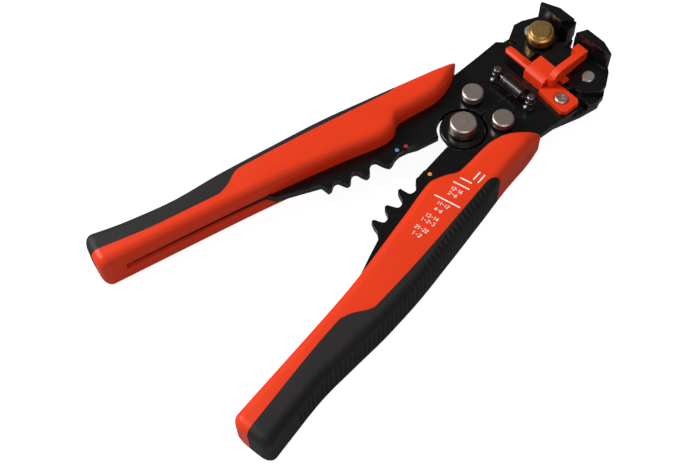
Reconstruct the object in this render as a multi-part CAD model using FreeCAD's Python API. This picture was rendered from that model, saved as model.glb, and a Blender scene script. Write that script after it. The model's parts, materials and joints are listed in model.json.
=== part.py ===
"""Self-adjusting wire stripper, 8 inch class.

Everything is drawn about the main pivot: X to the right, Y towards the jaws, Z up, with Z = 0 in the
middle of the handles. On export it moves to the row's origin, the centre of the resting footprint.
"""
import FreeCAD, Part
import math
import os

Vec = FreeCAD.Vector

# Overall
TIP_Y = 67.0
REAR_Y = -147.0
HALF_THICK = 9.5
ORIGIN_Y = (TIP_Y + REAR_Y) / 2.0

# Steel layers, as heights above the mid-plane
PLATE_LOW, PLATE_TOP = -1.5, 1.5
FRAME_LOW, FRAME_TOP = -4.6, -1.6
LAP_Z = -3.1
SLAB_TOP = 1.4
# The plates meet along the middle, and are eased back where they pass each other behind the link rivets
SEAM = 0.12
SEAM_RELIEF = 0.35
RELIEF_END_Y = 15.2

# Pivots
EAR_R = 7.2
SPACER_R = 9.3
ARC_R = 10.4
MAIN_SHAFT_R = 4.0
LINK_X, LINK_Y = 8.7, 13.7
LINK_SHAFT_R = 3.0
MAIN_HEAD_R, MAIN_HEAD_TOP = 5.35, 6.7
MAIN_BACK_R, MAIN_BACK_LOW = 5.5, -7.4
WASHER_R, WASHER_TOP = 6.3, 3.1
LINK_HEAD_R, LINK_HEAD_LOW, LINK_HEAD_TOP = 4.4, 3.0, 6.2
LINK_BACK_R, LINK_BACK_LOW = 4.5, -6.3
RUN_GAP = 0.05
EAR_GAP = 0.15
SPACER_TOP = 1.9
POST_X, POST_Y = 9.5, 28.3
POST_R = 1.1
POST_COLLAR_R = 2.9
SPRING_Z = 5.0
SPRING_COIL_R, SPRING_WIRE_R, SPRING_PITCH = 2.9, 0.42, 1.0
SPRING_END = 6.0
LOOP_GAP = 0.15

# Upper jaws
BEND_Y = 50.4
JAW_LOW = 1.7
JAW_SHEET = 2.0
OPEN_ANGLE = 9.5
TAIL_Y = 43.0
BEAK_Y = 60.8
BEAK_FRONT = 66.9
RIDGE_Z = 15.0
TIP_Z = 14.0
PAD_TOP = 13.0
PIN_Z = 0.4
PIN_R = 0.9
KNUCKLE_R = 1.8
# The knob and the jaw rivets stand at the same place along the jaws
FITTING_Y = 55.0
KNOB_X, KNOB_R = -10.5, 5.85
KNURLS, KNURL_R = 28, 0.35
JAW_RIVET_X, JAW_RIVET_R, JAW_RIVET_HEAD_R = 16.4, 1.2, 2.6
PIN_LEFT, PIN_RIGHT = 3.0, 22.0
KNUCKLE_ROOM, KNUCKLE_END_GAP = 2.05, 0.2
JAW_COIL_R, JAW_WIRE_R, JAW_COIL_PITCH, JAW_COIL_LENGTH = 1.1, 0.14, 0.4, 2.4
CAM_Y, CAM_LENGTH, CAM_RISE = 44.1, 1.6, 0.75

# Length stop
BASE_LEFT, BASE_TOP = 7.55, 4.0
BRIDGE_Z = 4.95
TONGUE_Y0, TONGUE_Y1 = 38.0, 41.0
SLIDE_GAP = 0.1
SCREW_X, SCREW_Y, SCREW_R = 16.5, 39.3, 1.5
SCREW_HEAD_R, SCREW_SINK, SCREW_PROUD = 2.7, 0.7, 0.5


def prism(points, low, high):
    """Straight-sided solid between two heights over a closed outline."""
    ring = [Vec(x, y, low) for x, y in points]
    face = Part.Face(Part.makePolygon(ring + ring[:1]))
    return face.extrude(Vec(0, 0, high - low))


def side_prism(points, left, right):
    """Solid with a (y, z) side profile, running across from left to right."""
    ring = [Vec(left, y, z) for y, z in points]
    face = Part.Face(Part.makePolygon(ring + ring[:1]))
    return face.extrude(Vec(right - left, 0, 0))


def disc(x, y, radius, low, high):
    return Part.makeCylinder(radius, high - low, Vec(x, y, low))


def cross_rod(radius, left, right, y=BEND_Y, z=PIN_Z):
    return Part.makeCylinder(radius, right - left, Vec(left, y, z), Vec(1, 0, 0))


def block(x0, x1, y0, y1, z0, z1):
    return Part.makeBox(x1 - x0, y1 - y0, z1 - z0, Vec(x0, y0, z0))


def mirrored(shape):
    """The same piece on the left of the tool."""
    return shape.mirror(Vec(0, 0, 0), Vec(1, 0, 0))


def outline(steps, low, high):
    """Solid over an outline whose steps are points, or arcs and curves through further points."""
    def at(point):
        return Vec(point[0], point[1], low)

    edges = []
    here = steps[0]
    for step in steps[1:] + steps[:1]:
        if step == here:
            continue
        if step[0] == "arc":
            edges.append(Part.Arc(at(here), at(step[1]), at(step[2])).toShape())
            here = step[2]
        elif step[0] == "curve":
            curve = Part.BSplineCurve()
            curve.interpolate([at(here)] + [at(p) for p in step[1:]])
            edges.append(curve.toShape())
            here = step[-1]
        else:
            edges.append(Part.makeLine(at(here), at(step)))
            here = step
    face = Part.Face(Part.Wire(edges))
    return face.extrude(Vec(0, 0, high - low))


def save(name, shape):
    solid = shape.copy()
    solid.translate(Vec(0, -ORIGIN_Y, HALF_THICK))
    solid = solid.removeSplitter()
    if not solid.isValid():
        raise ValueError(name + " is not a valid solid")
    solid.exportStep("parts/" + name + ".step")


# ---------------------------------------------------------------- handles

NOSE = [(20.0, 17.0), (21.1, 20.3), (22.7, 21.6), (24.2, 20.3), (24.9, 16.6)]
OUTER_EDGE = [
    (25.6, 11.6), (29.4, -5.3), (32.4, -20), (35.8, -35), (40.5, -60), (45.8, -88), (49.4, -120),
    (52.6, -136),
]
REAR_CORNERS = [(53.9, -141.5), (52.6, -144.9), (49.0, -146.2), (43.6, -147), (40.9, -145.8)]
INNER_EDGE = [
    (39.2, -142), (35, -119), (30, -94), (25.5, -72.7), (20.2, -52), (15.0, -33.5), (13.6, -28.4),
    (14.2, -24), (16.6, -18), (17.2, -9), (16.6, 2), (18.3, 12.5),
]


def inset(points, amount):
    """A clockwise ring of points moved inwards."""
    moved = []
    for index, (x, y) in enumerate(points):
        before, after = points[index - 1], points[(index + 1) % len(points)]
        along_x, along_y = after[0] - before[0], after[1] - before[1]
        length = math.hypot(along_x, along_y)
        moved.append((x + amount * along_y / length, y - amount * along_x / length))
    return moved


def handle_blank():
    """One moulded handle without its slot or colour split: a smooth outline with eased rims."""
    curve = Part.BSplineCurve()
    points = [Vec(x, y, 0) for x, y in NOSE + OUTER_EDGE + REAR_CORNERS + INNER_EDGE]
    curve.interpolate(points, PeriodicFlag=True)
    ring = [(p.x, p.y) for p in curve.discretize(Number=97)[:-1]]
    levels = [(HALF_THICK, 1.5), (HALF_THICK - 0.5, 0.6), (HALF_THICK - 1.6, 0.0)]
    sections = []
    for z, amount in [(-z, a) for z, a in levels] + levels[::-1]:
        corners = [Vec(x, y, z) for x, y in inset(ring, amount)]
        sections.append(Part.makePolygon(corners + corners[:1]))
    return Part.makeLoft(sections, True, True)


SPLIT = [
    (32, -35), (33.5, -46), (36, -61), (39.6, -82), (38.2, -87), (35.4, -91), (35.2, -95),
    (38.9, -112.6), (41.5, -127), (46, -147.5),
]


def grip_region():
    """The outer side of a handle, where the black grip lies."""
    steps = [
        (28.0, -15),
        ("curve", (29, -20), *SPLIT),
        (70, -150),
        (70, -11.5),
        (31.5, -11.5),
        ("arc", (28.7, -12.3), (28.0, -15)),
    ]
    return outline(steps, -HALF_THICK - 1, HALF_THICK + 1)


# Crimping nests. Tips run from the rear to the pivot. A nest's points are shares of the length from its
# rear tip to its front tip, and shares of its depth.
RIGHT_TIPS = [(8.3, -55.5), (6.7, -47.3), (4.5, -38.4), (5.1, -29.2)]
RIGHT_DEPTHS = [4.1, 4.6, 4.3]
RIGHT_NEST = [
    (0.10, 0.28), (0.14, 0.55), (0.24, 0.97), (0.40, 1.03), (0.53, 0.97), (0.66, 0.72), (0.82, 0.20),
]
LEFT_TIPS = [(13.2, -58.8), (10.6, -51.2), (8.4, -43.2), (6.4, -32.9)]
LEFT_DEPTHS = [2.8, 3.8, 5.0]
LEFT_NEST = [
    (0.11, 0.10), (0.20, 0.42), (0.30, 0.78), (0.42, 1.0), (0.58, 0.96), (0.70, 0.60), (0.82, 0.21),
]
TIP_FLAT = 0.6
CUTTER_BEVEL = 1.1


def crimp_edge(tips, depths, nest):
    """Nests between blunt tips, running towards the pivot."""
    steps = [(tips[0][0], tips[0][1] - TIP_FLAT)]
    for index, depth in enumerate(depths):
        (x0, y0), (x1, y1) = tips[index], tips[index + 1]
        along_x, along_y = x1 - x0, y1 - y0
        length = math.hypot(along_x, along_y)
        points = []
        for share, deep in nest:
            out = deep * depth / length
            points.append((x0 + share * along_x + out * along_y, y0 + share * along_y - out * along_x))
        steps.append((x0, y0 + TIP_FLAT))
        steps.append(("curve", *points, (x1, y1 - TIP_FLAT)))
    steps.append((tips[-1][0], tips[-1][1] + TIP_FLAT))
    return steps


def on_arc(x):
    """The point at this x on the rear of the arc round the pivot."""
    return x, -math.sqrt(ARC_R ** 2 - x ** 2)


def plate(rear_shoulder, crimp, cutter):
    """A handle plate, drawn for the right hand side, from its rear end round to the nose."""
    relief_x = SEAM + SEAM_RELIEF
    relief_y = math.sqrt(ARC_R ** 2 - relief_x ** 2)
    side = ARC_R * math.cos(math.radians(45))
    steps = [(40.5, -137), (39.0, -134)]
    steps += [(35.2, -114.5), (31.2, -94), (27.9, -79), (24.3, -77.0)]
    steps += rear_shoulder + crimp + cutter
    steps += [("arc", (side, -side), (ARC_R, 0)), ("arc", (side, side), (relief_x, relief_y))]
    steps += [(SEAM, RELIEF_END_Y), (SEAM, 45.8), (19.8, 45.8)]
    steps += [(23.6, 41.9), (22.9, 31), (22.3, 18), (22.8, 8)]
    steps += [(25.5, -12), (31.5, -45), (37.5, -80), (42.5, -118), (45.5, -137)]
    shape = outline(steps, PLATE_LOW, PLATE_TOP)
    shape = shape.cut(disc(LINK_X, LINK_Y, LINK_SHAFT_R + RUN_GAP, -2, 2))
    shape = shape.cut(disc(POST_X, POST_Y, POST_R + 1.1, -2, 2))
    return shape.cut([cutter_bevel(*ends) for ends in zip(cutter, cutter[1:])])


def cutter_bevel(start, end):
    """Wedge that sharpens one straight stretch of the wire cutter from the front."""
    along = Vec(end[0] - start[0], end[1] - start[1], 0)
    inward = Vec(along.y, -along.x, 0).normalize()
    edge = Vec(start[0], start[1], PLATE_TOP)
    ring = [edge + inward * CUTTER_BEVEL, edge - inward * 0.2, edge - inward * 0.2 - Vec(0, 0, CUTTER_BEVEL)]
    face = Part.Face(Part.makePolygon(ring + ring[:1]))
    return face.extrude(along)


# The slot that is open along the inner side of a cover, up to the plate's edge
SIDE_SLOT = [(20, -79), (28.3, -79), (31.6, -94), (35.6, -114.5), (39.4, -134), (34, -134), (25, -94)]


def handle_parts(side_plate):
    blank = handle_blank().cut(side_plate)
    blank = blank.cut(prism(SIDE_SLOT, PLATE_LOW - 0.4, PLATE_TOP + 0.4))
    region = grip_region()
    return blank.cut(region), blank.common(region)


def handles():
    right = plate(
        [(19.2, -66.4), (16.0, -59.3), (13.1, -57.4), (10.6, -57.0)],
        crimp_edge(RIGHT_TIPS, RIGHT_DEPTHS, RIGHT_NEST),
        [(4.3, -25.0), on_arc(1.7)])
    right = right.cut(disc(SCREW_X, SCREW_Y, SCREW_R, -2, 2))
    left = plate(
        [(18.9, -64.0), (17.1, -59.8)],
        crimp_edge(LEFT_TIPS, LEFT_DEPTHS, LEFT_NEST) + [(7.6, -29.6), (8.0, -27.0)],
        [(7.2, -23.0), (5.6, -19.2), on_arc(3.8)])
    cover, grip = handle_parts(right)
    save("right_plate", right)
    save("right_cover", cover)
    save("right_grip", grip)
    cover, grip = handle_parts(left)
    save("left_plate", mirrored(left))
    save("left_cover", mirrored(cover))
    save("left_grip", mirrored(grip))


# ---------------------------------------------------------------- head frames and rivets

FRAME_OUTER = {
    "right": [(24.2, 56.5), (26.0, 51.8), (24.8, 43.5)],
    "left": [(21.6, 56.0), (22.8, 50.0), (23.4, 43.0)],
}


def frame(side):
    outer = FRAME_OUTER[side]
    inner = [(21.6, 31), (19.5, 25), (16.2, 18), (15.8, 12), (13.5, 5), (8, -3)]
    body = prism([(SEAM, 0), (SEAM, 60), (19, 60)] + outer + inner, FRAME_LOW, FRAME_TOP)
    body = body.fuse(disc(0, 0, EAR_R, FRAME_LOW, FRAME_TOP))
    body = body.cut(disc(LINK_X, LINK_Y, LINK_SHAFT_R, -5, -1))
    return body.cut(disc(POST_X, POST_Y, POST_R, -5, -1))


def rivet(x, y, shaft_r, head_r, head_low, head_top, back_low, back_r):
    """Headed rivet with chamfered rims."""
    shape = disc(x, y, shaft_r, back_low, head_top - 1.0)
    front = disc(x, y, head_r, head_low, head_top)
    front = front.makeChamfer(0.5, [e for e in front.Edges if e.CenterOfMass.z > head_top - 0.01])
    back = disc(x, y, back_r, back_low, FRAME_LOW)
    back = back.makeChamfer(0.5, [e for e in back.Edges if e.CenterOfMass.z < back_low + 0.01])
    return shape.fuse([front, back])


def spring_post():
    post = disc(POST_X, POST_Y, POST_R, FRAME_LOW - 0.6, 7.2)
    head = disc(POST_X, POST_Y, 1.6, 6.8, 8.0)
    head = head.makeChamfer(0.35, [e for e in head.Edges if e.CenterOfMass.z > 7.9])
    foot = disc(POST_X, POST_Y, 2.4, FRAME_LOW - 0.9, FRAME_LOW)
    return post.fuse([head, foot])


def post_collar():
    """Domed collar that keeps the spring's loop off the handle plate."""
    low, rim, top = PLATE_TOP + 0.15, PLATE_TOP + 0.75, PLATE_TOP + 1.5
    flange = disc(POST_X, POST_Y, POST_COLLAR_R, low, rim)
    dome = Part.makeCone(POST_COLLAR_R, POST_R + 0.6, top - rim, Vec(POST_X, POST_Y, rim))
    return flange.fuse(dome).cut(disc(POST_X, POST_Y, POST_R, low - 1, top + 1))


def pivot_spacer():
    """Disc between the plates, stepped down to the ears underneath."""
    wide = disc(0, 0, SPACER_R, 0.0, SPACER_TOP)
    wide = wide.makeChamfer(0.4, [e for e in wide.Edges if e.CenterOfMass.z > SPACER_TOP - 0.01])
    spacer = wide.fuse(disc(0, 0, SPACER_R - 1.1, PLATE_LOW, 0.0))
    return spacer.cut(disc(0, 0, MAIN_SHAFT_R, -3, 3))


def head():
    right = frame("right").cut(disc(0, 0, EAR_R + EAR_GAP, LAP_Z, FRAME_TOP + 0.1))
    left = mirrored(frame("left")).cut(disc(0, 0, EAR_R + EAR_GAP, FRAME_LOW - 0.1, LAP_Z + 0.05))
    save("right_frame", right.cut(disc(0, 0, MAIN_SHAFT_R, -5, -1)))
    save("left_frame", left.cut(disc(0, 0, MAIN_SHAFT_R + RUN_GAP, -5, -1)))
    save("pivot_spacer", pivot_spacer())
    front, back = (MAIN_HEAD_R, WASHER_TOP, MAIN_HEAD_TOP), (MAIN_BACK_LOW, MAIN_BACK_R)
    save("main_rivet", rivet(0, 0, MAIN_SHAFT_R, *front, *back))
    washer = disc(0, 0, WASHER_R, SPACER_TOP, WASHER_TOP)
    save("main_washer", washer.cut(disc(0, 0, MAIN_SHAFT_R, 0, 4)))
    front, back = (LINK_HEAD_R, LINK_HEAD_LOW, LINK_HEAD_TOP), (LINK_BACK_LOW, LINK_BACK_R)
    link = rivet(LINK_X, LINK_Y, LINK_SHAFT_R, *front, *back)
    save("right_link_rivet", link)
    save("left_link_rivet", mirrored(link))
    save("right_spring_post", spring_post())
    save("left_spring_post", mirrored(spring_post()))
    save("right_post_collar", post_collar())
    save("left_post_collar", mirrored(post_collar()))


def return_spring():
    """Close-wound tension spring with a loop round each post."""
    loop_r = POST_R + LOOP_GAP + SPRING_WIRE_R
    helix = Part.makeHelix(SPRING_PITCH, 2 * SPRING_END, SPRING_COIL_R)
    profile = Part.Wire(Part.makeCircle(SPRING_WIRE_R, Vec(SPRING_COIL_R, 0, 0), Vec(0, 1, 0)))
    coil = Part.Wire(helix.Edges).makePipeShell([profile], True, True)
    coil.rotate(Vec(0, 0, 0), Vec(0, 1, 0), 90)
    coil.translate(Vec(-SPRING_END, POST_Y, SPRING_Z))
    pieces = []
    for sign in (-1, 1):
        hub = Vec(sign * POST_X, POST_Y, SPRING_Z)
        pieces.append(Part.makeTorus(loop_r, SPRING_WIRE_R, hub, Vec(0, 0, 1)))
        near = Vec(sign * (POST_X - loop_r), POST_Y, SPRING_Z)
        far = Vec(sign * (SPRING_END - 0.1), POST_Y, SPRING_Z - SPRING_COIL_R)
        pieces.append(Part.makeCylinder(SPRING_WIRE_R, near.distanceToPoint(far), near, far - near))
    return coil.fuse(pieces)


# ---------------------------------------------------------------- jaws

def rise(y):
    """Height of the upper jaw's underside, flat behind the bend and tilted open in front of it."""
    return JAW_LOW + max(0.0, y - BEND_Y) * math.tan(math.radians(OPEN_ANGLE))


def sheet_top(y):
    return rise(y) + JAW_SHEET / math.cos(math.radians(OPEN_ANGLE))


def sheet_profile():
    front = BEAK_FRONT - 1.5
    return [
        (TAIL_Y, JAW_LOW), (BEND_Y, JAW_LOW), (front, rise(front)),
        (front, sheet_top(front)), (BEND_Y, JAW_LOW + JAW_SHEET), (TAIL_Y, JAW_LOW + JAW_SHEET),
    ]


def beak_profile():
    return [(BEAK_Y, rise(BEAK_Y)), (BEAK_FRONT, rise(BEAK_FRONT)), (66.4, TIP_Z), (BEAK_Y, RIDGE_Z)]


PAD_LEFT = 1.9
PAD_RIGHT = {"right": 4.7, "left": 6.2}
PAD_LEAVES = {"right": 4, "left": 6}
SHEET = {
    "right": [
        (4, 63.6), (PAD_LEFT, 63), (PAD_LEFT, 60.4), (-2.6, 60.4), (-5, 58.2), (-5, 47.6), (9, 47.6),
        (9, 44.8), (15.3, 44.8), (15.3, 47.0), (19.4, 47.4), (24.8, 53.6), (24.2, 57.2), (20.9, 62.0),
        (19.0, 63.6),
    ],
    "left": [
        (5.4, 62), (5.4, 49.6), (7, 49.6), (7, TAIL_Y), (15.3, TAIL_Y), (15.3, 47.0), (20.3, 46.2),
        (23.8, 52.5), (22.9, 56), (19.2, 62.6),
    ],
}
BEAK_PLAN = {
    "right": [(3.6, BEAK_FRONT), (2.0, BEAK_Y), (18.6, 62.3), (19.0, 63.6), (11.4, BEAK_FRONT)],
    "left": [(3.8, BEAK_FRONT), (6.4, BEAK_Y), (18.4, BEAK_Y), (19.2, 62.6), (11.2, BEAK_FRONT)],
}
LOWER_OUTER = {
    "right": [(25.0, 46.6), (26.6, 50.0), (25.7, 54.8)],
    "left": [(20.6, 46.6), (22.9, 50.5), (22.6, 57.0)],
}
LOWER_BEAK_LEFT, LOWER_BEAK_RIGHT = 3.3, 18.3
KNUCKLE = (8.0, 13.0)
COIL_ROOM = (13.8, 17.2)


def upper_jaw(side):
    """Bent steel lever: tail, tilted sheet, raised beak, knuckle on the cross pin."""
    sheet = side_prism(sheet_profile(), -6, 26).common(prism(SHEET[side], 0, 6))
    beak = side_prism(beak_profile(), 0, 25).common(prism(BEAK_PLAN[side], 0, 16))
    shape = sheet.fuse([beak, cross_rod(KNUCKLE_R, *KNUCKLE)])
    shape = shape.cut(cross_rod(PIN_R + RUN_GAP, 5, 16))
    top = sheet_top(FITTING_Y)
    shape = shape.cut(tilted(disc(JAW_RIVET_X, FITTING_Y, JAW_RIVET_R, top - 1.6, top + 1), FITTING_Y, top))
    return shape.cut(side_prism(upper_pad_profile(), PAD_LEFT, PAD_RIGHT[side]))


def upper_pad_profile():
    back = BEAK_Y - 0.3
    return [(back, rise(back)), (BEAK_FRONT, rise(BEAK_FRONT)), (66.45, PAD_TOP), (back, PAD_TOP)]


def lower_pad_profile():
    return [(61.7, SLAB_TOP), (61.7, -7.6), (64.6, -7.6), (BEAK_FRONT, -1.0), (BEAK_FRONT, SLAB_TOP)]


def laminations(profile, side):
    """Stack of thin hardened leaves, a hair apart, eased along the inner side."""
    gap = 0.08
    count = PAD_LEAVES[side]
    pitch = (PAD_RIGHT[side] - PAD_LEFT) / count
    corner = [(0, BEAK_FRONT - 3.0), (PAD_LEFT, BEAK_FRONT - 3.0), (PAD_LEFT + 1.3, 68), (0, 68)]
    leaves = []
    for index in range(count):
        left = PAD_LEFT + index * pitch
        leaf = side_prism(profile, left + gap, left + pitch)
        leaves.append(leaf.cut(prism(corner, -10, 20)))
    return Part.makeCompound(leaves)


def lower_jaw(side):
    inner = [(0.5, 62), (0.5, 46.6)]
    front = [(19.6, 63.2), (10.9, BEAK_FRONT), (LOWER_BEAK_LEFT, BEAK_FRONT), (LOWER_BEAK_LEFT, 62)]
    slab = prism(inner + LOWER_OUTER[side] + front, FRAME_TOP, SLAB_TOP)
    beak = side_prism(
        [(60.1, SLAB_TOP), (60.1, -8.2), (61.6, -HALF_THICK), (64.6, -HALF_THICK), (TIP_Y, -1.0),
         (TIP_Y, SLAB_TOP)], 0, 25)
    plan = [
        (LOWER_BEAK_LEFT, TIP_Y), (LOWER_BEAK_LEFT, 60), (LOWER_BEAK_RIGHT, 60), (LOWER_BEAK_RIGHT, 61.6),
        (10.9, TIP_Y),
    ]
    jaw = slab.fuse(beak.common(prism(plan, -10, 2)))
    left, right = KNUCKLE[0] - KNUCKLE_END_GAP, KNUCKLE[1] + KNUCKLE_END_GAP
    rear, ahead = BEND_Y - KNUCKLE_ROOM, BEND_Y + KNUCKLE_ROOM
    jaw = jaw.cut(cross_rod(KNUCKLE_ROOM, left, right))
    jaw = jaw.cut(block(left, right, rear, ahead, PIN_Z, 2))
    jaw = jaw.cut(block(*COIL_ROOM, rear, ahead, -1.5, 2))
    jaw = jaw.cut(cross_rod(PIN_R, PIN_LEFT, PIN_RIGHT))
    return jaw.cut(side_prism(lower_pad_profile(), 0, PAD_RIGHT["right"]))


def jaw_spring():
    """Small torsion spring round the cross pin."""
    coil = Part.makeHelix(JAW_COIL_PITCH, JAW_COIL_LENGTH, JAW_COIL_R)
    profile = Part.Wire(Part.makeCircle(JAW_WIRE_R, Vec(JAW_COIL_R, 0, 0), Vec(0, 1, 0)))
    spring = Part.Wire(coil.Edges).makePipeShell([profile], True, True)
    spring.rotate(Vec(0, 0, 0), Vec(0, 1, 0), 90)
    spring.translate(Vec(COIL_ROOM[0] + 0.5, BEND_Y, PIN_Z))
    return spring


def tilted(shape, y, z):
    """Lean a piece back with the upper jaw's sheet, about a cross line."""
    shape.rotate(Vec(0, y, z), Vec(1, 0, 0), OPEN_ANGLE)
    return shape


def jaw_rivet():
    top = sheet_top(FITTING_Y)
    pin = disc(JAW_RIVET_X, FITTING_Y, JAW_RIVET_R, top - 1.6, top + 0.4)
    cap = disc(JAW_RIVET_X, FITTING_Y, JAW_RIVET_HEAD_R, top, top + 0.9)
    cap = cap.makeChamfer(0.3, [e for e in cap.Edges if e.CenterOfMass.z > top + 0.8])
    return tilted(pin.fuse(cap), FITTING_Y, top)


# Half section of the knob as (radius, height above the jaw's sheet), from the bore round to the foot
KNOB_BORE_R, KNOB_BORE_TOP = 1.4, 3.4
KNOB_SECTION = [
    (KNOB_BORE_R, 0.1), (KNOB_BORE_R, KNOB_BORE_TOP), (0, KNOB_BORE_TOP), (0, 6.8), (3.9, 6.8), (4.2, 6.5),
    (4.3, 6.1), (5.0, 6.1), (5.6, 5.6), (KNOB_R, 4.9), (KNOB_R, 1.9), (5.5, 1.4), (3.2, 1.4), (3.2, 0.1),
]


def adjusting_knob():
    """Turned brass knob: narrow foot, knurled rim, stepped and rounded top."""
    ring = [Vec(r, 0, z) for r, z in KNOB_SECTION]
    face = Part.Face(Part.makePolygon(ring + ring[:1]))
    knob = face.revolve(Vec(0, 0, 0), Vec(0, 0, 1), 360)
    reach = KNOB_R + 0.12
    grooves = []
    for index in range(KNURLS):
        angle = 2 * math.pi * index / KNURLS
        grooves.append(disc(reach * math.cos(angle), reach * math.sin(angle), KNURL_R, 1.3, 5.0))
    knob = knob.cut(Part.makeCompound(grooves))
    top = sheet_top(FITTING_Y)
    knob.translate(Vec(KNOB_X, FITTING_Y, top))
    return tilted(knob, FITTING_Y, top)


def adjusting_screw():
    top = sheet_top(FITTING_Y)
    shank = disc(KNOB_X, FITTING_Y, KNOB_BORE_R, top - 1.7, top + KNOB_BORE_TOP)
    return tilted(shank, FITTING_Y, top)


def jaws():
    left = mirrored(upper_jaw("left"))
    top = sheet_top(FITTING_Y)
    screw_hole = disc(KNOB_X, FITTING_Y, KNOB_BORE_R + RUN_GAP, top - 6, top + 1)
    save("right_upper_jaw", upper_jaw("right"))
    save("left_upper_jaw", left.cut(tilted(screw_hole, FITTING_Y, top)))
    save("right_lower_jaw", lower_jaw("right"))
    save("left_lower_jaw", mirrored(lower_jaw("left")))
    save("right_upper_blades", laminations(upper_pad_profile(), "right"))
    save("left_upper_pads", mirrored(laminations(upper_pad_profile(), "left")))
    lower = laminations(lower_pad_profile(), "right")
    save("right_lower_blades", lower)
    save("left_lower_pads", mirrored(lower))
    pin = cross_rod(PIN_R, PIN_LEFT, PIN_RIGHT)
    save("right_jaw_pin", pin)
    save("left_jaw_pin", mirrored(pin))
    save("right_jaw_spring", jaw_spring())
    save("left_jaw_spring", mirrored(jaw_spring()))
    save("right_jaw_rivet", jaw_rivet())
    save("left_jaw_rivet", mirrored(jaw_rivet()))
    save("adjusting_knob", adjusting_knob())
    save("adjusting_screw", adjusting_screw())


def jaw_cam(left, right):
    """Ramp that slides under a jaw's tail as the handle turns."""
    low, high = PLATE_TOP, PLATE_TOP + CAM_RISE
    ring = [Vec(x, CAM_Y, z) for x, z in ((left, low), (right, low), (left + 0.8, high), (left, high))]
    face = Part.Face(Part.makePolygon(ring + ring[:1]))
    return face.extrude(Vec(0, CAM_LENGTH, 0))


# ---------------------------------------------------------------- length stop

BAR_SECTION = [
    (38.2, 5.3), (38.7, BRIDGE_Z), (41.7, BRIDGE_Z), (42.2, 5.3), (42.2, 6.1), (41.3, 6.8), (39.1, 6.8),
    (38.2, 6.1),
]
BAR_PLAN = [(-15.6, 39.2), (-15.1, 41.4), (-14.2, 42.3), (0, 42.3), (0, 38.1), (-14.6, 38.1)]
BLOCK_SECTION = [
    (36.8, 1.7), (42.85, 1.7), (42.85, BRIDGE_Z), (46.3, BRIDGE_Z), (46.3, 8.0), (40.2, 8.0), (38.2, 7.4),
    (37.1, 6.4), (36.8, 5.2),
]
ARM_SECTION = [
    (39.9, BASE_TOP + SLIDE_GAP), (43.9, BASE_TOP + SLIDE_GAP), (43.9, BRIDGE_Z), (BEND_Y, BRIDGE_Z),
    (60.2, 6.3), (60.2, 11.0), (45.0, 11.0), (42.2, 9.8), (40.4, 7.8), (39.9, 6.2),
]


def stop_slider():
    """Bar, curved block, tongue under the base, and an arm with a hooked end, in one moulding."""
    bar = side_prism(BAR_SECTION, -16, -1).common(prism(BAR_PLAN, 0, 8))
    body = side_prism(BLOCK_SECTION, -2.6, BASE_LEFT - SLIDE_GAP)
    tongue = block(4.0, 13.5, TONGUE_Y0 + SLIDE_GAP, TONGUE_Y1 - SLIDE_GAP, 1.6, 2.9)
    arm = side_prism(ARM_SECTION, 7.0, 10.0)
    boss = disc(8.4, 41.3, 2.0, BASE_TOP + SLIDE_GAP, 8.6)
    hook = block(4.6, 10.0, 56.6, 60.2, 6.5, 11.0)
    shelf = block(9.5, 12.6, 44.2, 47.4, BRIDGE_Z, 6.2)
    ridges = [block(x, x + 0.6, 39.0, 41.4, 6.5, 7.15) for x in (-6.4, -5.2, -4.0)]
    return bar.fuse([body, tongue, arm, boss, hook, shelf] + ridges)


def stop_guide():
    """Screwed-down base with a channel underneath for the stop's tongue."""
    corners = [(BASE_LEFT, 35.2), (20.9, 34.4), (22.6, 36.0), (22.6, 42.8), (21.2, 44.0), (BASE_LEFT, 44.0)]
    base = prism(corners, PLATE_TOP, BASE_TOP)
    base = base.cut(block(BASE_LEFT - 1, 13.7, TONGUE_Y0, TONGUE_Y1, 1, 3.0))
    base = base.cut(disc(SCREW_X, SCREW_Y, SCREW_R, 0, 5))
    return base.cut(disc(SCREW_X, SCREW_Y, 3.1, BASE_TOP - SCREW_SINK, 5))


def stop_screw():
    low, top = BASE_TOP - SCREW_SINK, BASE_TOP + SCREW_PROUD
    shank = disc(SCREW_X, SCREW_Y, SCREW_R, PLATE_LOW, low + 0.5)
    cap = disc(SCREW_X, SCREW_Y, SCREW_HEAD_R, low, top)
    cap = cap.makeChamfer(0.4, [e for e in cap.Edges if e.CenterOfMass.z > top - 0.05])
    cross = block(-1.8, 1.8, -0.4, 0.4, 0, 2).fuse(block(-0.4, 0.4, -1.8, 1.8, 0, 2))
    cross.rotate(Vec(0, 0, 0), Vec(0, 0, 1), 30)
    cross.translate(Vec(SCREW_X, SCREW_Y, top - 0.8))
    return shank.fuse(cap).cut(cross)


def length_stop():
    save("stop_slider", stop_slider())
    save("stop_guide", stop_guide())
    save("stop_screw", stop_screw())


os.makedirs("parts", exist_ok=True)
handles()
head()
save("return_spring", return_spring())
jaws()
save("right_jaw_cam", jaw_cam(6.4, 9.0))
save("left_jaw_cam", mirrored(jaw_cam(4.6, 7.0)))
length_stop()
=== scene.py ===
"""Self-adjusting wire stripper: the looks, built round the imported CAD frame.

Places are given in millimetres about the main pivot, as on the tool's own drawing, and at() turns them
into metres in the frame.
"""

import json
import math

import bmesh
import bpy
from mathutils import Matrix, Vector


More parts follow.
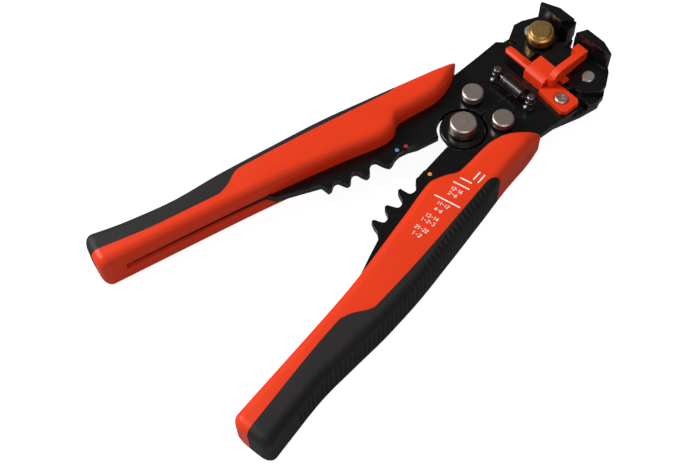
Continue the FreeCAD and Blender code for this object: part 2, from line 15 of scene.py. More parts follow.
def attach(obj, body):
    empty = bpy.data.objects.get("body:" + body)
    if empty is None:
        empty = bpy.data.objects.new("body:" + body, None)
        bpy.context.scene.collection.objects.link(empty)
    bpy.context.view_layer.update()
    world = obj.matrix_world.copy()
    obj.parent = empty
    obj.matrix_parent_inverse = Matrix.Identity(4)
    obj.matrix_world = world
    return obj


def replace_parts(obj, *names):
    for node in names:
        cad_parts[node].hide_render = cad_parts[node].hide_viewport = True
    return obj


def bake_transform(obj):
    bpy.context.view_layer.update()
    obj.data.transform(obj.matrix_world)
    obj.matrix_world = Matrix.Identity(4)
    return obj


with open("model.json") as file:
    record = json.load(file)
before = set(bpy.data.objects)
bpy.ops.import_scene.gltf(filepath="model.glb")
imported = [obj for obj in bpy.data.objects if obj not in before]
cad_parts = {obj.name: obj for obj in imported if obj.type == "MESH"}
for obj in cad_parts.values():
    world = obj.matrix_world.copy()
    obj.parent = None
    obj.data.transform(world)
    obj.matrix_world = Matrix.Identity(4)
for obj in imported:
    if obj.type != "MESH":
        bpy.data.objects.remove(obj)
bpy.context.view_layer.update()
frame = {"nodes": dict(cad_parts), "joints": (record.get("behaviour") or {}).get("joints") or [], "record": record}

MM = 0.001
JOINTS = {joint["name"]: joint for joint in frame["joints"]}
PIVOT = Vector(JOINTS["head_spread"]["pos_m"])


def at(x, y, z):
    """A point in millimetres about the main pivot, as metres in the frame."""
    return PIVOT + Vector((x, y, z)) * MM


# ------------------------------------------------------------------ node materials

def node_material(name):
    material = bpy.data.materials.new(name)
    material.use_nodes = True
    tree = material.node_tree
    shader = next(n for n in tree.nodes if n.type == "BSDF_PRINCIPLED")
    return material, tree, shader


def add(tree, kind, **values):
    """A node with some of its properties and inputs set by name."""
    node = tree.nodes.new(kind)
    for key, value in values.items():
        if hasattr(node, key):
            setattr(node, key, value)
        else:
            node.inputs[key.replace("_", " ")].default_value = value
    return node


def noise_mask(tree, scale, low, high, detail=4.0, stretch=(1, 1, 1)):
    """Object-space noise remapped so that low..high becomes 0..1."""
    place = add(tree, "ShaderNodeTexCoord")
    mapping = add(tree, "ShaderNodeMapping")
    mapping.inputs["Scale"].default_value = stretch
    cloud = add(tree, "ShaderNodeTexNoise", Scale=scale, Detail=detail)
    span = add(tree, "ShaderNodeMapRange")
    span.inputs["From Min"].default_value = low
    span.inputs["From Max"].default_value = high
    tree.links.new(place.outputs["Object"], mapping.inputs["Vector"])
    tree.links.new(mapping.outputs["Vector"], cloud.inputs["Vector"])
    tree.links.new(cloud.outputs["Fac"], span.inputs["Value"])
    return span.outputs["Result"]


def blend_colour(tree, mask, first, second):
    mix = add(tree, "ShaderNodeMix", data_type="RGBA")
    mix.inputs["A"].default_value = (*first, 1)
    mix.inputs["B"].default_value = (*second, 1)
    tree.links.new(mask, mix.inputs["Factor"])
    return mix.outputs["Result"]


def mix_into(tree, mask, base, second):
    """Blends a plain colour over a colour socket where the mask is high."""
    mix = add(tree, "ShaderNodeMix", data_type="RGBA")
    mix.inputs["B"].default_value = (*second, 1)
    tree.links.new(base, mix.inputs["A"])
    tree.links.new(mask, mix.inputs["Factor"])
    return mix.outputs["Result"]


def ramp_value(tree, mask, low, high):
    span = add(tree, "ShaderNodeMapRange")
    span.inputs["To Min"].default_value = low
    span.inputs["To Max"].default_value = high
    tree.links.new(mask, span.inputs["Value"])
    return span.outputs["Result"]


def bump(tree, shader, height, strength, distance):
    node = add(tree, "ShaderNodeBump", Strength=strength, Distance=distance)
    tree.links.new(height, node.inputs["Height"])
    tree.links.new(node.outputs["Normal"], shader.inputs["Normal"])


def edge_mask(tree, radius, low, high):
    """High where the surface turns a corner within the radius."""
    rounded = add(tree, "ShaderNodeBevel", samples=4, Radius=radius)
    geometry = add(tree, "ShaderNodeNewGeometry")
    dot = add(tree, "ShaderNodeVectorMath", operation="DOT_PRODUCT")
    span = add(tree, "ShaderNodeMapRange")
    span.inputs["From Min"].default_value = high
    span.inputs["From Max"].default_value = low
    tree.links.new(rounded.outputs["Normal"], dot.inputs[0])
    tree.links.new(geometry.outputs["True Normal"], dot.inputs[1])
    tree.links.new(dot.outputs["Value"], span.inputs["Value"])
    return span.outputs["Result"]


def orange_plastic():
    """Moulded nylon with a fine spark-eroded texture and slight mottling."""
    material, tree, shader = node_material("orange_plastic")
    cloud = noise_mask(tree, 60.0, 0.3, 0.7)
    colour = blend_colour(tree, cloud, (0.73, 0.037, 0.0040), (0.67, 0.034, 0.0038))
    tree.links.new(colour, shader.inputs["Base Color"])
    scuffs = noise_mask(tree, 240.0, 0.45, 0.75)
    tree.links.new(ramp_value(tree, scuffs, 0.42, 0.52), shader.inputs["Roughness"])
    shader.inputs["Specular IOR Level"].default_value = 0.25
    bump(tree, shader, noise_mask(tree, 2600.0, 0.2, 0.8, 2.0), 0.12, 0.0002)
    return material


def black_rubber():
    """Matt overmoulded rubber, slightly dusty."""
    material, tree, shader = node_material("black_rubber")
    cloud = noise_mask(tree, 45.0, 0.35, 0.7)
    colour = blend_colour(tree, cloud, (0.0105, 0.0086, 0.0084), (0.0150, 0.0125, 0.0118))
    tree.links.new(colour, shader.inputs["Base Color"])
    speck = noise_mask(tree, 900.0, 0.3, 0.75)
    tree.links.new(ramp_value(tree, speck, 0.55, 0.70), shader.inputs["Roughness"])
    shader.inputs["Specular IOR Level"].default_value = 0.35
    bump(tree, shader, noise_mask(tree, 3200.0, 0.2, 0.8, 3.0), 0.25, 0.0002)
    return material


def black_steel():
    """Black lacquered steel: glossy, slightly wavy, with a painted highlight, partly wear, lighter along its
    edges.
    """
    material, tree, shader = node_material("black_steel")
    cloud = noise_mask(tree, 90.0, 0.35, 0.7)
    colour = blend_colour(tree, cloud, (0.0036, 0.0033, 0.0035), (0.0055, 0.0050, 0.0050))
    # Painted edge highlight, partly wear: a lighter colour laid along every edge and broken up by noise stands in
    # for light caught on the rounded edges.
    edge_highlight_and_wear = edge_mask(tree, 0.00035, 0.80, 0.97)
    highlight_and_wear_patches = noise_mask(tree, 700.0, 0.42, 0.62)
    both = add(tree, "ShaderNodeMath", operation="MULTIPLY")
    tree.links.new(edge_highlight_and_wear, both.inputs[0])
    tree.links.new(highlight_and_wear_patches, both.inputs[1])
    # Mixes in the light grey of the painted edge highlight and wear.
    colour = mix_into(tree, both.outputs["Value"], colour, (0.130, 0.118, 0.112))
    tree.links.new(colour, shader.inputs["Base Color"])
    waviness = noise_mask(tree, 300.0, 0.3, 0.8)
    tree.links.new(ramp_value(tree, waviness, 0.16, 0.30), shader.inputs["Roughness"])
    shader.inputs["Specular IOR Level"].default_value = 0.5
    bump(tree, shader, noise_mask(tree, 500.0, 0.2, 0.8, 3.0), 0.10, 0.0002)
    return material


def metal(name, light, dark, rough, scratch_scale=900.0, grain=(1, 12, 1)):
    """Plated metal with fine directional scratches and duller patches."""
    material, tree, shader = node_material(name)
    colour = blend_colour(tree, noise_mask(tree, 220.0, 0.35, 0.7), light, dark)
    tree.links.new(colour, shader.inputs["Base Color"])
    shader.inputs["Metallic"].default_value = 1.0
    scratches = noise_mask(tree, scratch_scale, 0.35, 0.7, 3.0, grain)
    tree.links.new(ramp_value(tree, scratches, rough, rough + 0.12), shader.inputs["Roughness"])
    bump(tree, shader, scratches, 0.08, 0.0001)
    return material


def paint(name, colour, rough=0.5):
    """Screen-printed ink, thin enough to show a little unevenness."""
    material, tree, shader = node_material(name)
    dull = tuple(channel * 0.8 for channel in colour)
    tree.links.new(blend_colour(tree, noise_mask(tree, 1500.0, 0.35, 0.75), colour, dull),
                   shader.inputs["Base Color"])
    shader.inputs["Roughness"].default_value = rough
    return material


MATERIALS = {
    "orange_plastic": orange_plastic(),
    "black_grip": black_rubber(),
    "black_steel": black_steel(),
    "hard_steel": metal("hard_steel", (0.035, 0.033, 0.034), (0.02, 0.019, 0.02), 0.35),
    "nickel": metal("nickel", (0.90, 0.74, 0.66), (0.78, 0.64, 0.57), 0.34),
    "dark_pin": metal("dark_pin", (0.42, 0.37, 0.34), (0.28, 0.25, 0.23), 0.28),
    "spring_steel": metal("spring_steel", (0.20, 0.185, 0.175), (0.13, 0.12, 0.115), 0.20),
    "brass": metal("brass", (0.98, 0.64, 0.22), (0.80, 0.50, 0.15), 0.26, 1400.0),
}


# ------------------------------------------------------------------ mesh helpers

def new_object(name, verts, faces, material, smooth_angle=40.0):
    mesh = bpy.data.meshes.new(name)
    mesh.from_pydata(verts, [], faces)
    mesh.validate()
    obj = bpy.data.objects.new(name, mesh)
    bpy.context.scene.collection.objects.link(obj)
    mesh.materials.append(material)
    tidy_normals(mesh)
    smooth(mesh, smooth_angle)
    return obj


def tidy_normals(mesh):
    work = bmesh.new()
    work.from_mesh(mesh)
    bmesh.ops.remove_doubles(work, verts=work.verts, dist=1e-7)
    bmesh.ops.dissolve_degenerate(work, edges=work.edges, dist=1e-7)
    bmesh.ops.recalc_face_normals(work, faces=work.faces)
    work.to_mesh(mesh)
    work.free()


def smooth(mesh, angle):
    """Smooth shading, with edges sharper than the angle kept crisp."""
    for face in mesh.polygons:
        face.use_smooth = True
    mesh.set_sharp_from_angle(angle=math.radians(angle))


def skin(rings, closed_ring=True, caps=True):
    """Quads between successive rings of points, with end caps."""
    count = len(rings[0])
    verts = [point for ring in rings for point in ring]
    faces = []
    for row in range(len(rings) - 1):
        for column in range(count if closed_ring else count - 1):
            a = row * count + column
            b = row * count + (column + 1) % count
            faces.append((a, b, b + count, a + count))
    if caps:
        faces.append(tuple(range(count))[::-1])
        last = (len(rings) - 1) * count
        faces.append(tuple(range(last, last + count)))
    return verts, faces


def hermite(points):
    """A smooth curve through (t, value) points, without overshoot."""
    slopes = []
    for index, (t, value) in enumerate(points):
        before = points[max(index - 1, 0)]
        after = points[min(index + 1, len(points) - 1)]
        left = (value - before[1]) / (t - before[0]) if index else None
        right = (after[1] - value) / (after[0] - t) if index < len(points) - 1 else None
        if left is None or right is None:
            slopes.append(right if left is None else left)
        elif left * right <= 0:
            slopes.append(0.0)
        else:
            slopes.append(2 * left * right / (left + right))

    def value_at(t):
        t = min(max(t, points[0][0]), points[-1][0])
        index = next(i for i in range(len(points) - 1) if t <= points[i + 1][0])
        (t0, v0), (t1, v1) = points[index], points[index + 1]
        span = t1 - t0
        s = (t - t0) / span
        return (
            v0 * (1 + 2 * s) * (1 - s) ** 2 + slopes[index] * span * s * (1 - s) ** 2
            + v1 * s * s * (3 - 2 * s) + slopes[index + 1] * span * s * s * (s - 1)
        )

    return value_at


def ease(t, start, end):
    """0 before start, 1 after end, smooth between."""
    s = min(max((t - start) / (end - start), 0.0), 1.0)
    return s * s * (3 - 2 * s)


def corner_drop(distance, radius):
    """How far a round of this radius has fallen back at a distance from its edge."""
    if distance >= radius:
        return 0.0
    return radius - math.sqrt(max(radius * radius - (radius - distance) ** 2, 0.0))


# ------------------------------------------------------------------ handles

# A handle is drawn along its own axis: u runs from the nose to the rear end, v across towards the outside.
# The two handles are not a mirror pair, so curves are kept by side: 1 is the right handle, -1 the left.
NOSE_X, NOSE_Y = 22.6, 21.0
AXIS_ANGLE = math.radians(-80.1)
HALF_THICK = 9.5
U_START, U_END = 2.5, 169.0
INNER = {
    1: hermite([(2.5, -0.5), (7, -5.6), (13.5, -10), (20, -12), (37, -13), (43, -16.6), (49, -19),
                (66, -17.3), (110, -13.5), (169, -12.6)]),
    -1: hermite([(2.5, 1.2), (7, -3.3), (13, -7), (20, -9.2), (37, -10.2), (43, -14.9), (48, -15.9),
                 (66, -14.4), (110, -12.6), (169, -12.2)]),
}
OUTER = {
    1: hermite([(2.5, 1.6), (20, 1.6), (42, 2.9), (66, 4.3), (88, 5.2), (104, 4.9), (120, 3.7), (139, 2.5),
                (157, 3.4), (169, 4.2)]),
    -1: hermite([(2.5, 1.6), (20, 2.5), (44, 3.6), (66, 4.3), (88, 3.7), (110, 2.9), (134, 1.1), (152, 2),
                 (169, 4.3)]),
}
SPLIT_START, SPLIT_ROUND = 31.0, 5.5
SPLIT = {
    1: hermite([(36, -1.2), (80, -0.3), (104, -0.8), (112.5, -6), (117, -7.6), (169, -5)]),
    -1: hermite([(36, 0.6), (60, 0.6), (104, -0.4), (112.5, -5.6), (117, -7.1), (140, -7), (169, -4.9)]),
}
INNER_RIM, OUTER_RIM, BACK_OUTER_RIM = 3.4, 3.5, 1.5
# A rim takes at most this share of the width, and leaves at least this much straight side
RIM_SHARE, LEAST_SIDE = 0.48, 1.2
CROWN = 0.35
NOSE_ROUND, NOSE_OVERHANG, NOSE_SHARE = 12.0, 1.2, 0.62
REAR_ROUND_FACE, REAR_ROUND_INNER, REAR_ROUND_OUTER = 3.6, 3.5, 4.0
SLOT_START, SLOT_END, SLOT_HALF, SLOT_DEPTH = 99.0, 158.5, 1.75, 4.5
SLOT_RAMP_IN, SLOT_RAMP_OUT, SLOT_CHAMFER = 1.5, 0.6, 0.25
# Heights of the points between the slot's edge and the rim, as shares of the rim's height
LIP_NEAR, LIP_FAR = 0.45, 0.72
RIB_START, RIB_END, RIB_PITCH, RIB_DEPTH, RIB_WIDTH = 37.5, 153.0, 2.45, 0.75, 0.19
# The groove band: its edges before it turns, how far they move, and where along the handle it turns
RIB_LEAN = 0.37
BAND_START, BAND_END, BAND_START_MOVE, BAND_END_MOVE = -6.9, 0.5, 4.2, 2.3
BAND_TURN = (60, 112)
BAND_START_FADE, BAND_END_FADE, RIB_FADE = 0.9, 1.4, 2
# Where the grooves fade: from the colour split, up from the back, and up to the left handle's front
SPLIT_FADE, BACK_FADE, LEFT_FRONT_FADE = (0.1, 0.6), (-7.5, -6.0), (4.2, 5.2)
ACROSS_STEPS, SIDE_STEPS, RIB_STEPS = 22, 12, 9
STATION_STEP, FINE_RUN, FINE_STEPS = 1.2, 4.0, 8
# The grip's first ring starts this far past the colour split's start, so that it is not a single point
GRIP_LEAD = 0.05


def half_height(u):
    """Half the thickness at a station, less at the blunt nose and round the rear corner."""
    nose = corner_drop(u - U_START + NOSE_OVERHANG, NOSE_ROUND) * NOSE_SHARE
    rear = corner_drop(U_END - u, REAR_ROUND_FACE)
    return HALF_THICK - nose - rear


def side_lines(u, side):
    """Where the inner and outer sides lie at a station, with the rear corners rounded off."""
    return (
        INNER[side](u) + corner_drop(U_END - u, REAR_ROUND_INNER),
        OUTER[side](u) - corner_drop(U_END - u, REAR_ROUND_OUTER),
    )


def split_line(u, side):
    """Where the colours part: the grip starts with a rounded end."""
    outer = side_lines(u, side)[1]
    if u <= SPLIT_START:
        return outer
    full = SPLIT[side](u)
    s = max(1 - (u - SPLIT_START) / SPLIT_ROUND, 0.0)
    return min(outer - (outer - full) * math.sqrt(1 - s * s), outer)


def face_height(u, v, side, outer_rim=OUTER_RIM):
    """Height of a face above the mid-plane, for a given rounding along its outer edge."""
    inner, outer = side_lines(u, side)
    width = outer - inner
    high = half_height(u)
    most = min(width * RIM_SHARE, high - LEAST_SIDE)
    crown = CROWN * ((v - inner) / max(width, 0.1) * 2 - 1) ** 2
    drop = corner_drop(v - inner, min(INNER_RIM, most)) + corner_drop(outer - v, min(outer_rim, most))
    return high - crown - drop


def stations(start, end):
    """Stations along the handle, closer together at both ends."""
    ends = [FINE_RUN * (1 - math.cos(math.pi / 2 * k / FINE_STEPS)) for k in range(FINE_STEPS + 1)]
    span = end - start - 2 * FINE_RUN
    count = int(span / STATION_STEP)
    middle = [start + FINE_RUN + span * k / count for k in range(1, count)]
    return [start + e for e in ends] + middle + [end - e for e in ends[::-1]]


def place(u, v, z, side):
    """A point of a handle as metres in the frame."""
    along = (math.cos(AXIS_ANGLE), math.sin(AXIS_ANGLE))
    across = (-along[1], along[0])
    x = NOSE_X + u * along[0] + v * across[0]
    y = NOSE_Y + u * along[1] + v * across[1]
    return at(side * x, y, z)


def profile(u, low, high, side):
    """The (v, z) outline of a handle piece: front face, outer side, back face, inner side."""
    spread = [(1 - math.cos(math.pi * k / ACROSS_STEPS)) / 2 for k in range(ACROSS_STEPS + 1)]
    across = [low + (high - low) * s for s in spread]
    front = [(v, face_height(u, v, side)) for v in across]
    back = [(v, -face_height(u, v, side, BACK_OUTER_RIM)) for v in across[::-1]]
    shares = [k / SIDE_STEPS for k in range(1, SIDE_STEPS)]
    outer_side = [(high, front[-1][1] + (back[0][1] - front[-1][1]) * k) for k in shares]
    inner_side = [(low, back[-1][1] + (front[0][1] - back[-1][1]) * k) for k in shares]
    return front + outer_side + back + inner_side


def slot_ring(u, low, high, side, depth):
    """A ring of the orange cover, its inner side slotted for the plate."""
    outline = profile(u, low, high, side)
    back_lip, front_lip = outline[-SIDE_STEPS][1], outline[0][1]
    heights = [back_lip * LIP_FAR, back_lip * LIP_NEAR, -SLOT_HALF - SLOT_CHAMFER, -SLOT_HALF, -SLOT_HALF]
    heights += [0.0, SLOT_HALF, SLOT_HALF, SLOT_HALF + SLOT_CHAMFER]
    heights += [front_lip * LIP_NEAR, front_lip * LIP_FAR]
    depths = [0, 0, 0, SLOT_CHAMFER, depth, depth, depth, SLOT_CHAMFER, 0, 0, 0]
    inner_side = [(low + min(d, depth), z) for d, z in zip(depths, heights)]
    return [place(u, v, z, side) for v, z in outline[:1 - SIDE_STEPS] + inner_side]


def cover(name, body, side):
    """Orange inner part of a handle."""
    rings = []
    for u in stations(U_START, U_END):
        low = side_lines(u, side)[0]
        open_in = ease(u, SLOT_START - SLOT_RAMP_IN, SLOT_START)
        depth = SLOT_DEPTH * open_in * (1 - ease(u, SLOT_END, SLOT_END + SLOT_RAMP_OUT))
        rings.append(slot_ring(u, low, split_line(u, side), side, depth))
    verts, faces = skin(rings)
    piece = new_object(name, verts, faces, MATERIALS["orange_plastic"], 50.0)
    finish_piece(piece, body)
    return piece


def rib_depth(u, v, z, side):
    """Depth of the transverse grooves in the grip.

    On the right handle their band starts on the front rim and turns down onto the outer side towards the
    rear. On the left handle it stays on the outer side. Round the rim the place across the band is taken
    square to a line leaning RIB_LEAN outwards for each millimetre of height.
    """
    outer = side_lines(u, side)[1]
    turned = ease(u, *BAND_TURN) if side > 0 else 1.0
    start, end = BAND_START + BAND_START_MOVE * turned, BAND_END + BAND_END_MOVE * turned
    across = v - outer - RIB_LEAN * z
    band = ease(across, start, start + BAND_START_FADE) * (1 - ease(across, end - BAND_END_FADE, end))
    on_face = ease(v - split_line(u, side), *SPLIT_FADE) * ease(z, *BACK_FADE)
    if side < 0:
        on_face *= 1 - ease(z, *LEFT_FRONT_FADE)
    reach = ease(u, RIB_START, RIB_START + RIB_FADE) * (1 - ease(u, RIB_END - RIB_FADE, RIB_END))
    phase = (u / RIB_PITCH) % 1.0
    return band * on_face * reach * RIB_DEPTH * math.exp(-((phase - 0.5) / RIB_WIDTH) ** 2)


def ribbed(u, outline, side):
    """The outline of a grip with its groove pressed in along the surface normal."""
    pressed = []
    for index, (v, z) in enumerate(outline):
        before, after = outline[index - 1], outline[(index + 1) % len(outline)]
        run, rise = after[0] - before[0], after[1] - before[1]
        length = max(math.hypot(run, rise), 1e-6)
        depth = rib_depth(u, v, z, side)
        pressed.append((v + rise / length * depth, z - run / length * depth))
    return pressed


def grip(name, body, side):
    """Black outer part of a handle, with its ribs."""
    us = stations(SPLIT_START + GRIP_LEAD, U_END)
    us = [u for u in us if u < RIB_START or u > RIB_END]
    step = RIB_PITCH / RIB_STEPS
    us += [RIB_START + step * k for k in range(int((RIB_END - RIB_START) / step) + 1)]
    rings = []
    for u in sorted(us):
        outline = profile(u, split_line(u, side), side_lines(u, side)[1], side)
        rings.append([place(u, v, z, side) for v, z in ribbed(u, outline, side)])
    verts, faces = skin(rings)
    piece = new_object(name, verts, faces, MATERIALS["black_grip"], 50.0)
    finish_piece(piece, body)
    return piece


def finish_piece(piece, body):
    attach(piece, body)


def build_handles():
    for name, side in (("right", 1), ("left", -1)):
        body = name + "_handle"
        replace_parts(cover(name + "_cover_shell", body, side), name + "_cover")
        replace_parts(grip(name + "_grip_shell", body, side), name + "_grip")


# ------------------------------------------------------------------ return spring

def sweep(name, path, radius, material, around=10):
    """A round wire along a path of points in metres."""
    rings = []
    normal = Vector((0, 0, 1))
    for index, point in enumerate(path):
        ahead = path[min(index + 1, len(path) - 1)] - path[max(index - 1, 0)]
        ahead.normalize()
        normal = (normal - ahead * normal.dot(ahead)).normalized()
        other = ahead.cross(normal)
        rings.append([
            point + (normal * math.cos(a) + other * math.sin(a)) * radius
            for a in (2 * math.pi * k / around for k in range(around))
        ])
    verts, faces = skin(rings)
    return new_object(name, verts, faces, material, 60.0)


def build_return_spring():
    """Close-wound coil with a loop round each post."""
    post_x, post_y, height = 9.5, 28.3, 5.0
    wire, coil, loop = 0.42, 2.9, 1.67
    start, end, turns, turn_steps = -6.0, 6.0, 12, 24
    loop_steps, loop_sweep, loop_offset = 19, 300, 0.3
    growing = 0.6  # turns taken to reach the full coil radius
    path = []
    for k in range(loop_steps + 1):
        angle = math.radians(-60 - loop_sweep * k / loop_steps)
        path.append(at(-post_x + loop * math.cos(angle), post_y + loop * math.sin(angle),
                       height + loop_offset))
    for k in range(turns * turn_steps + 1):
        s = k / (turns * turn_steps)
        grow = ease(s * turns, 0, growing) * ease((1 - s) * turns, 0, growing)
        angle = 2 * math.pi * s * turns
        radius = coil * grow
        path.append(at(start + (end - start) * s, post_y + radius * math.sin(angle),
                       height + radius * math.cos(angle)))
    for k in range(loop_steps + 1):
        angle = math.radians(180 + loop_sweep * k / loop_steps)
        path.append(at(post_x + loop * math.cos(angle), post_y + loop * math.sin(angle),
                       height - loop_offset))
    spring = sweep("return_spring_coil", path, wire * MM, MATERIALS["spring_steel"])
    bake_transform(spring)
    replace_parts(spring, "return_spring")


# ------------------------------------------------------------------ CAD nodes

BEVEL_WIDTH = {"black_steel": 0.22, "orange_plastic": 0.35, "nickel": 0.12, "brass": 0.12}
OTHER_BEVEL, BEVEL_SEGMENTS, BEVEL_ANGLE = 0.08, 2, 32
WELD_REACH = 2e-6


def dress_cad_nodes():
    """New materials and softened edges for the pieces that keep their CAD shape."""
    for entry in frame["record"]["subparts"]:
        obj = frame["nodes"][entry["node"]]
        slot = entry["material_slot"]
        obj.data.materials.clear()
        obj.data.materials.append(MATERIALS[slot])
        with bpy.context.temp_override(object=obj, active_object=obj, selected_objects=[obj]):
            bpy.ops.mesh.customdata_custom_splitnormals_clear()
        for face in obj.data.polygons:
            face.use_smooth = True
        weld = obj.modifiers.new("weld", "WELD")
        weld.merge_threshold = WELD_REACH
        bevel = obj.modifiers.new("edges", "BEVEL")
        bevel.width = BEVEL_WIDTH.get(slot, OTHER_BEVEL) * MM
        bevel.segments = BEVEL_SEGMENTS
        bevel.limit_method = "ANGLE"
        bevel.angle_limit = math.radians(BEVEL_ANGLE)
        bevel.harden_normals = True
        bevel.use_clamp_overlap = True


# ------------------------------------------------------------------ painted marks

PLATE_FRONT, DOT_RADIUS, DOT_SIDES = 1.5, 0.85, 20
# A dab's rings, from the plate up: share of the radius, height
DOT_RINGS = ((1, 0.0), (0.85, 0.07), (0.4, 0.10))


def mark_dot(name, body, x, y, colour):
    """A small round dab of paint on the front of a handle plate."""
    rings = []
    for share, z in DOT_RINGS:
        r = DOT_RADIUS * share
        rings.append([at(x + r * math.cos(a), y + r * math.sin(a), PLATE_FRONT + z)
                      for a in (2 * math.pi * k / DOT_SIDES for k in range(DOT_SIDES))])
    verts, faces = skin(rings)
    dot = new_object(name, verts, faces, paint(name + "_paint", colour), 60.0)
    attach(dot, body)


# Strokes of the numerals in a cell one high and 0.6 wide
STROKES = {
    "1": [[(0.1, 0.8), (0.35, 1.0), (0.35, 0.0)]],
    "2": [[(0.0, 0.8), (0.15, 1.0), (0.45, 1.0), (0.6, 0.8), (0.6, 0.6), (0.0, 0.0), (0.6, 0.0)]],
    "3": [[(0.0, 1.0), (0.55, 1.0), (0.3, 0.6), (0.6, 0.4), (0.6, 0.15), (0.4, 0.0), (0.0, 0.05)]],
    "4": [[(0.45, 0.0), (0.45, 1.0), (0.0, 0.35), (0.6, 0.35)]],
    "5": [[(0.6, 1.0), (0.05, 1.0), (0.0, 0.55), (0.4, 0.6), (0.6, 0.4), (0.55, 0.1), (0.3, 0.0),
           (0.0, 0.1)]],
    "6": [[(0.5, 1.0), (0.1, 0.6), (0.0, 0.2), (0.2, 0.0), (0.45, 0.0), (0.6, 0.2), (0.45, 0.5),
           (0.1, 0.45)]],
    "-": [[(0.1, 0.5), (0.5, 0.5)]],
}
# The size scale on the right handle: rows as text, place along the handle and width, all centred on one
# line. A row without text is a plain rule.
SCALE_ROWS = [
    ("", 40.5, 5), ("", 43.5, 7), ("12-16", 47, 5), ("2-6", 49.5, 4), ("", 52.5, 11), ("11-12", 55.5, 5),
    ("4-6", 58.5, 3.5), ("13-14", 62.5, 5.5), ("1-2-3", 65, 6), ("21-22", 69, 5.5), ("1-2", 72, 4),
]
SCALE_CENTRE, SCALE_SLANT = -7.5, 0.12
LONG_RULES, LONG_RULE_START, LONG_RULE_END = (-5.5, -3.3), 34.0, 38.5
NUMERAL_HIGH, NUMERAL_CELL = 1.5, 0.8
INK_HALF, RULE_HALF, INK_LIFT, INK_STEP = 0.12, 0.28, 0.05, 0.4


def ink_line(points, half, verts, faces):
    """Adds a thin closed strip of ink, draped on the front of the right handle, through (u, v) points."""
    fine = []
    for (u0, v0), (u1, v1) in zip(points, points[1:]):
        count = max(1, int(math.hypot(u1 - u0, v1 - v0) / INK_STEP))
        fine += [(u0 + (u1 - u0) * k / count, v0 + (v1 - v0) * k / count) for k in range(count)]
    fine.append(points[-1])
    rings = []
    for index, (u, v) in enumerate(fine):
        before, after = fine[max(index - 1, 0)], fine[min(index + 1, len(fine) - 1)]
        run, rise = after[0] - before[0], after[1] - before[1]
        length = max(math.hypot(run, rise), 1e-6)
        corners = []
        for way, lift in ((half, INK_LIFT), (-half, INK_LIFT), (-half, -INK_LIFT), (half, -INK_LIFT)):
            there = u - rise / length * way, v + run / length * way
            corners.append(place(*there, face_height(*there, 1) + lift, 1))
        rings.append(corners)
    first = len(verts)
    strip_verts, strip_faces = skin(rings)
    verts += strip_verts
    faces += [tuple(first + corner for corner in face) for face in strip_faces]


def size_scale():
    """White rules and plain numerals down the front of the right handle."""
    verts, faces = [], []
    for v in LONG_RULES:
        ink_line([(LONG_RULE_START, v), (LONG_RULE_END, v)], RULE_HALF, verts, faces)
    for text, u, width in SCALE_ROWS:
        def on_row(share, up=0.0):
            across = (share - 0.5) * width
            return u - SCALE_SLANT * across - up, SCALE_CENTRE + across

        if not text:
            ink_line([on_row(0), on_row(1)], RULE_HALF, verts, faces)
        for index, letter in enumerate(text):
            for stroke in STROKES[letter]:
                path = [on_row((index + x / NUMERAL_CELL) / len(text), y * NUMERAL_HIGH) for x, y in stroke]
                ink_line(path, INK_HALF, verts, faces)
    scale = new_object("size_scale", verts, faces, paint("scale_paint", (0.86, 0.85, 0.83)), 60.0)
    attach(scale, "right_handle")


def build_marks():
    size_scale()
    mark_dot("blue_mark", "left_handle", -9.9, -26.5, (0.09, 0.33, 0.72))
    mark_dot("red_mark", "left_handle", -9.0, -22.5, (0.50, 0.015, 0.02))
    mark_dot("yellow_mark", "right_handle", 7.2, -24.6, (0.83, 0.36, 0.02))


# ------------------------------------------------------------------ stage

FLOOR_SIZE, FLOOR_DROP, FLOOR_GREY = 8.0, 0.0003, 0.22
FLOOR_GLOW, FLOOR_GLOW_SEEN = 0.10, 0.93
WORLD_LIGHT, WORLD_MIRRORED = 0.38, 0.10
LIGHT_TARGET = (0, -0.03, 0)


def seen_directly(tree):
    """1 for what the camera sees itself, 0 for what only lights or is mirrored in the tool."""
    return add(tree, "ShaderNodeLightPath").outputs["Is Camera Ray"]


def build_stage():
    """A white sheet that bounces only a little light and takes a faint shadow."""
    bpy.ops.mesh.primitive_plane_add(size=FLOOR_SIZE, location=(0, 0, -FLOOR_DROP))
    floor = bpy.context.object
    floor.name = "floor"
    material, tree, shader = node_material("floor_white")
    shader.inputs["Base Color"].default_value = (FLOOR_GREY, FLOOR_GREY, FLOOR_GREY, 1)
    shader.inputs["Roughness"].default_value = 1.0
    shader.inputs["Specular IOR Level"].default_value = 0.0
    shader.inputs["Emission Color"].default_value = (1, 1, 1, 1)
    glow = ramp_value(tree, seen_directly(tree), FLOOR_GLOW, FLOOR_GLOW_SEEN)
    tree.links.new(glow, shader.inputs["Emission Strength"])
    floor.data.materials.append(material)


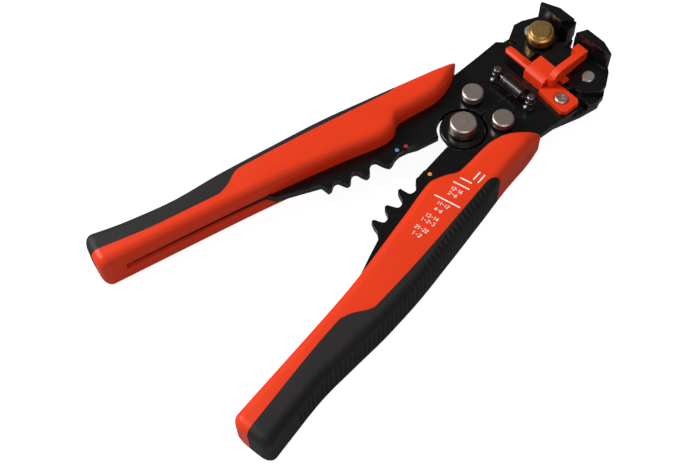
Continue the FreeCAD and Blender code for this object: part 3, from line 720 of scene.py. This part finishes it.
def area_light(name, where, size, power):
    """A rectangular lamp turned towards the tool."""
    lamp = bpy.data.lights.new(name, "AREA")
    lamp.shape = "RECTANGLE"
    lamp.size, lamp.size_y = size
    lamp.energy = power
    obj = bpy.data.objects.new(name, lamp)
    bpy.context.scene.collection.objects.link(obj)
    obj.location = where
    obj.rotation_euler = (Vector(LIGHT_TARGET) - Vector(where)).to_track_quat("-Z", "Y").to_euler()


def build_light():
    """White surroundings that show only dimly in the lacquer, a key light and a weak fill."""
    world = bpy.data.worlds.new("studio")
    bpy.context.scene.world = world
    world.use_nodes = True
    back = world.node_tree.nodes["Background"]
    back.inputs["Color"].default_value = (1, 1, 1, 1)
    tree = world.node_tree
    glossy = add(tree, "ShaderNodeLightPath").outputs["Is Glossy Ray"]
    strength = add(tree, "ShaderNodeMath", operation="MAXIMUM")
    tree.links.new(ramp_value(tree, glossy, WORLD_LIGHT, WORLD_MIRRORED), strength.inputs[0])
    tree.links.new(seen_directly(tree), strength.inputs[1])
    tree.links.new(strength.outputs["Value"], back.inputs["Strength"])
    area_light("key", (-0.75, -0.55, 0.85), (0.5, 0.5), 17)
    area_light("fill", (0.9, -0.5, 0.7), (0.9, 0.9), 2.5)


def build_camera():
    """The viewpoint: an eye point, a direction given by two angles, and a slight roll."""
    azimuth, elevation, roll = math.radians(50.72), math.radians(58.85), math.radians(-1.83)
    eye = at(181.9, -208.85, 375.98)
    back = Vector((math.sin(azimuth) * math.cos(elevation), -math.cos(azimuth) * math.cos(elevation),
                   math.sin(elevation)))
    right = Vector((math.cos(azimuth), math.sin(azimuth), 0))
    up = back.cross(right)
    camera_x = right * math.cos(roll) + up * math.sin(roll)
    camera_y = up * math.cos(roll) - right * math.sin(roll)
    data = bpy.data.cameras.new("camera")
    data.lens, data.sensor_width = 59.18, 36.0
    camera = bpy.data.objects.new("camera", data)
    bpy.context.scene.collection.objects.link(camera)
    turn = Matrix((camera_x, camera_y, back)).transposed().to_4x4()
    camera.matrix_world = Matrix.Translation(eye) @ turn
    bpy.context.scene.camera = camera


build_handles()
dress_cad_nodes()
build_return_spring()
build_marks()
build_stage()
build_light()
build_camera()
bpy.context.scene.view_settings.view_transform = "Standard"
